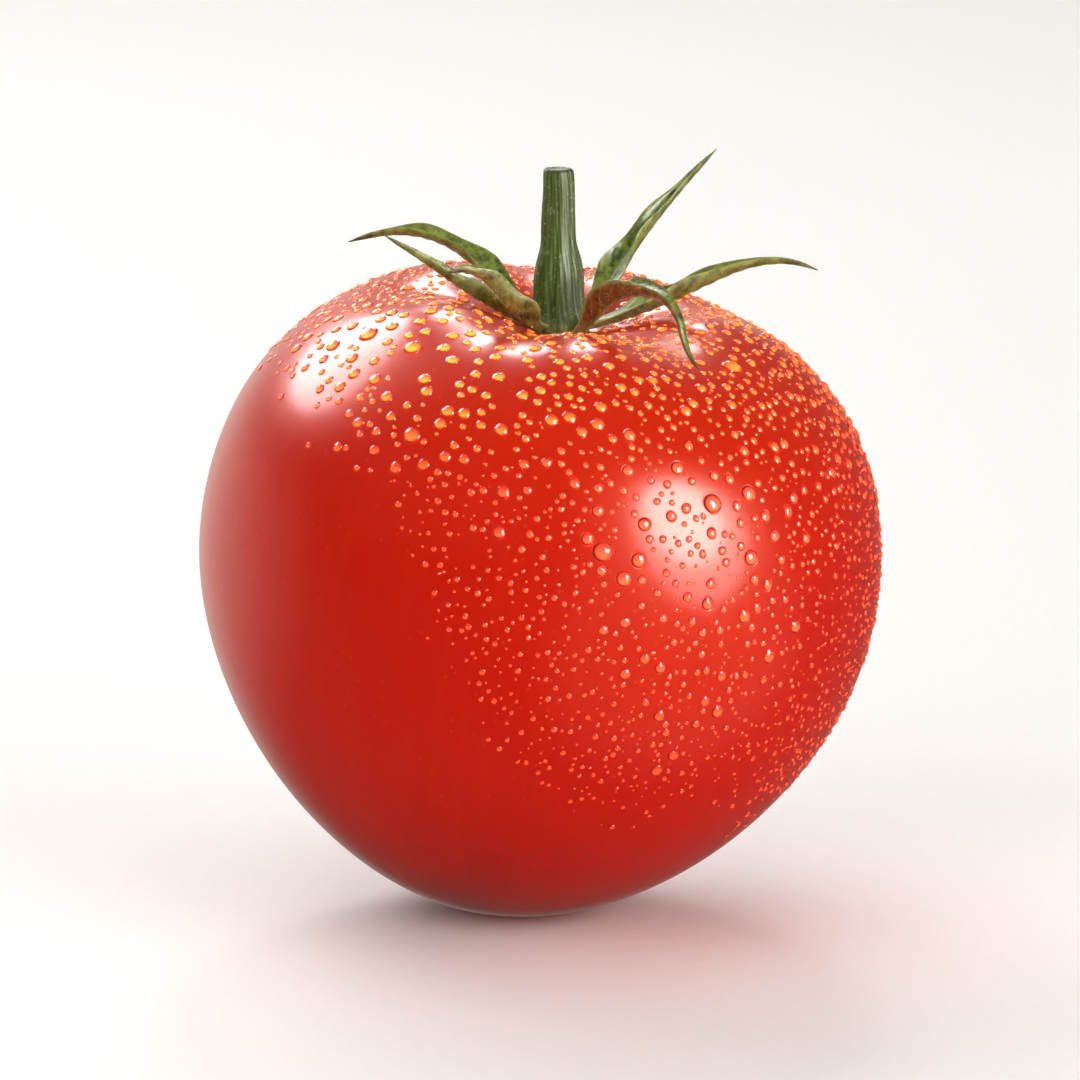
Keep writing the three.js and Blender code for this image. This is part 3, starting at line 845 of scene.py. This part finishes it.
def surround():
    """A soft warm room: a pale band low behind the fruit and to the left, a softer glow low on its
    front right, and dim elsewhere."""
    world = bpy.data.worlds.new("studio")
    world.use_nodes = True
    tree = world.node_tree
    way = add(tree, "ShaderNodeTexCoord").outputs["Generated"]
    behind = add(tree, "ShaderNodeVectorMath", {0: way, 1: (-0.66, 0.75, 0.0)}, operation="DOT_PRODUCT")
    height = add(tree, "ShaderNodeSeparateXYZ", {0: way}).outputs["Z"]
    wall = soft_step(tree, behind.outputs["Value"], 0.4, 1.0, 0.95)
    over, under = soft_step(tree, height, 0.4, 0.05), soft_step(tree, height, -0.6, -0.15)
    low = add(tree, "ShaderNodeMath", {0: over, 1: under}, operation="MULTIPLY").outputs[0]
    right = add(tree, "ShaderNodeVectorMath", {0: way, 1: (0.71, -0.62, -0.33)}, operation="DOT_PRODUCT")
    glow = soft_step(tree, right.outputs["Value"], 0.62, 1.0)
    room = add(tree, "ShaderNodeMath", {0: glow, 1: 2.4, 2: 0.13}, operation="MULTIPLY_ADD").outputs[0]
    strength = add(tree, "ShaderNodeMath", {0: wall, 1: low, 2: room}, operation="MULTIPLY_ADD").outputs[0]
    tree.links.new(strength, tree.nodes["Background"].inputs["Strength"])
    colour = blend(tree, glow, linear("#fff6ea"), linear("#ffae78"))
    tree.links.new(colour, tree.nodes["Background"].inputs["Color"])
    bpy.context.scene.world = world


make_camera()
make_light("back_left_softbox", 133, 41, 0.8, 0.68, 0.44, 16.0, "ELLIPSE", fill=False)
make_light("front_right_softbox", -39, 16, 0.75, 0.52, 0.68, 13.0, "ELLIPSE", fill=False)
make_light("front_right_lamp", -41, 22, 0.74, 0.34, 0.44, 30.0, "ELLIPSE", fill=False)
make_light("back_softbox", 87, 38, 0.9, 0.2, 0.26, 20.0, "ELLIPSE", fill=False)
make_light("right_fill", -36, 16, 0.8, 0.75, 0.5, 3.1, gloss=False)
make_light("left_fill", -128, 30, 0.8, 0.9, 0.6, 1.85, gloss=False)
make_light("top_fill", -90, 80, 0.9, 0.8, 0.8, 1.1, gloss=False)
make_light("back_fill", 125, 40, 0.9, 0.7, 0.5, 1.8, gloss=False)
make_light("backdrop_light", 97, 36, 1.0, 1.3, 0.7, 1.4, gloss=False).rotation_euler = (0, 0, 0)
surround()
bpy.context.scene.view_settings.view_transform = "Standard"

floor = make_floor(paper_sweep())
floor.visible_glossy = False  # the wax would mirror so much paper that the red below looked pink

skin_material = waxy_tomato_skin()
stem_material = downy_stem()
sepal_material = veined_sepal()
down_material = pale_down()
water_material = clear_water()
gleam_material = painted_drop_glow()

fruit_skin = make_fruit(skin_material)
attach(fruit_skin, "root")
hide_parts("fruit")

stem_skin = make_stem(stem_material)
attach(stem_skin, "root")
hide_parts("stem")

stem_down = make_down(stem_skin, "stem_down", 420, 0.36, down_material, 11)
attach(stem_down, "root")

for index, node in enumerate(SEPALS):
    blade = make_sepal(node, sepal_material)
    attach(blade, "root")
    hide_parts(node)
    down = make_down(blade, node + "_down", 200, 0.34, down_material, 20 + index)
    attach(down, "root")

source = np.random.default_rng(31)
sizes = [
    scatter(source, 700, 2.6, (0.7, 1.15), drop_weight),
    scatter(source, 16000, 0.75, (0.38, 0.76), lambda p: painted_gold_region(p) ** 2 * smooth(0, 0.3, shoulder(p))),
    scatter(source, 7000, 1.4, (0.36, 0.7), lambda p: drop_weight(p) + 0.6 * shoulder(p)),
    scatter(source, 22000, 0.85, (0.24, 0.46), shoulder),
    scatter(source, 34000, 1.1, (0.14, 0.38), wetness),
]
drops = spaced(*(np.concatenate(part) for part in zip(*sizes)))
beads = {  # smallest and largest radius, contact angle, points around, rings
    "large_drops": (0.6, 2.0, 52, 28, 9), "crown_beads": (0.4, 0.6, 58, 14, 4),
    "shoulder_beads": (0.26, 0.4, 60, 10, 3), "mist_beads": (0.0, 0.26, 62, 8, 3)}
for index, (name, (least, most, contact, around, rings)) in enumerate(beads.items()):
    some = [part[(drops[2] > least) & (drops[2] <= most)] for part in drops]
    for piece, slot in ((make_drops(name, some, contact, around, rings, water_material, 41 + index), "water"),
                        (make_gleams(name + "_gleam", some, around, gleam_material), "tomato_skin")):
        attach(piece, "root")
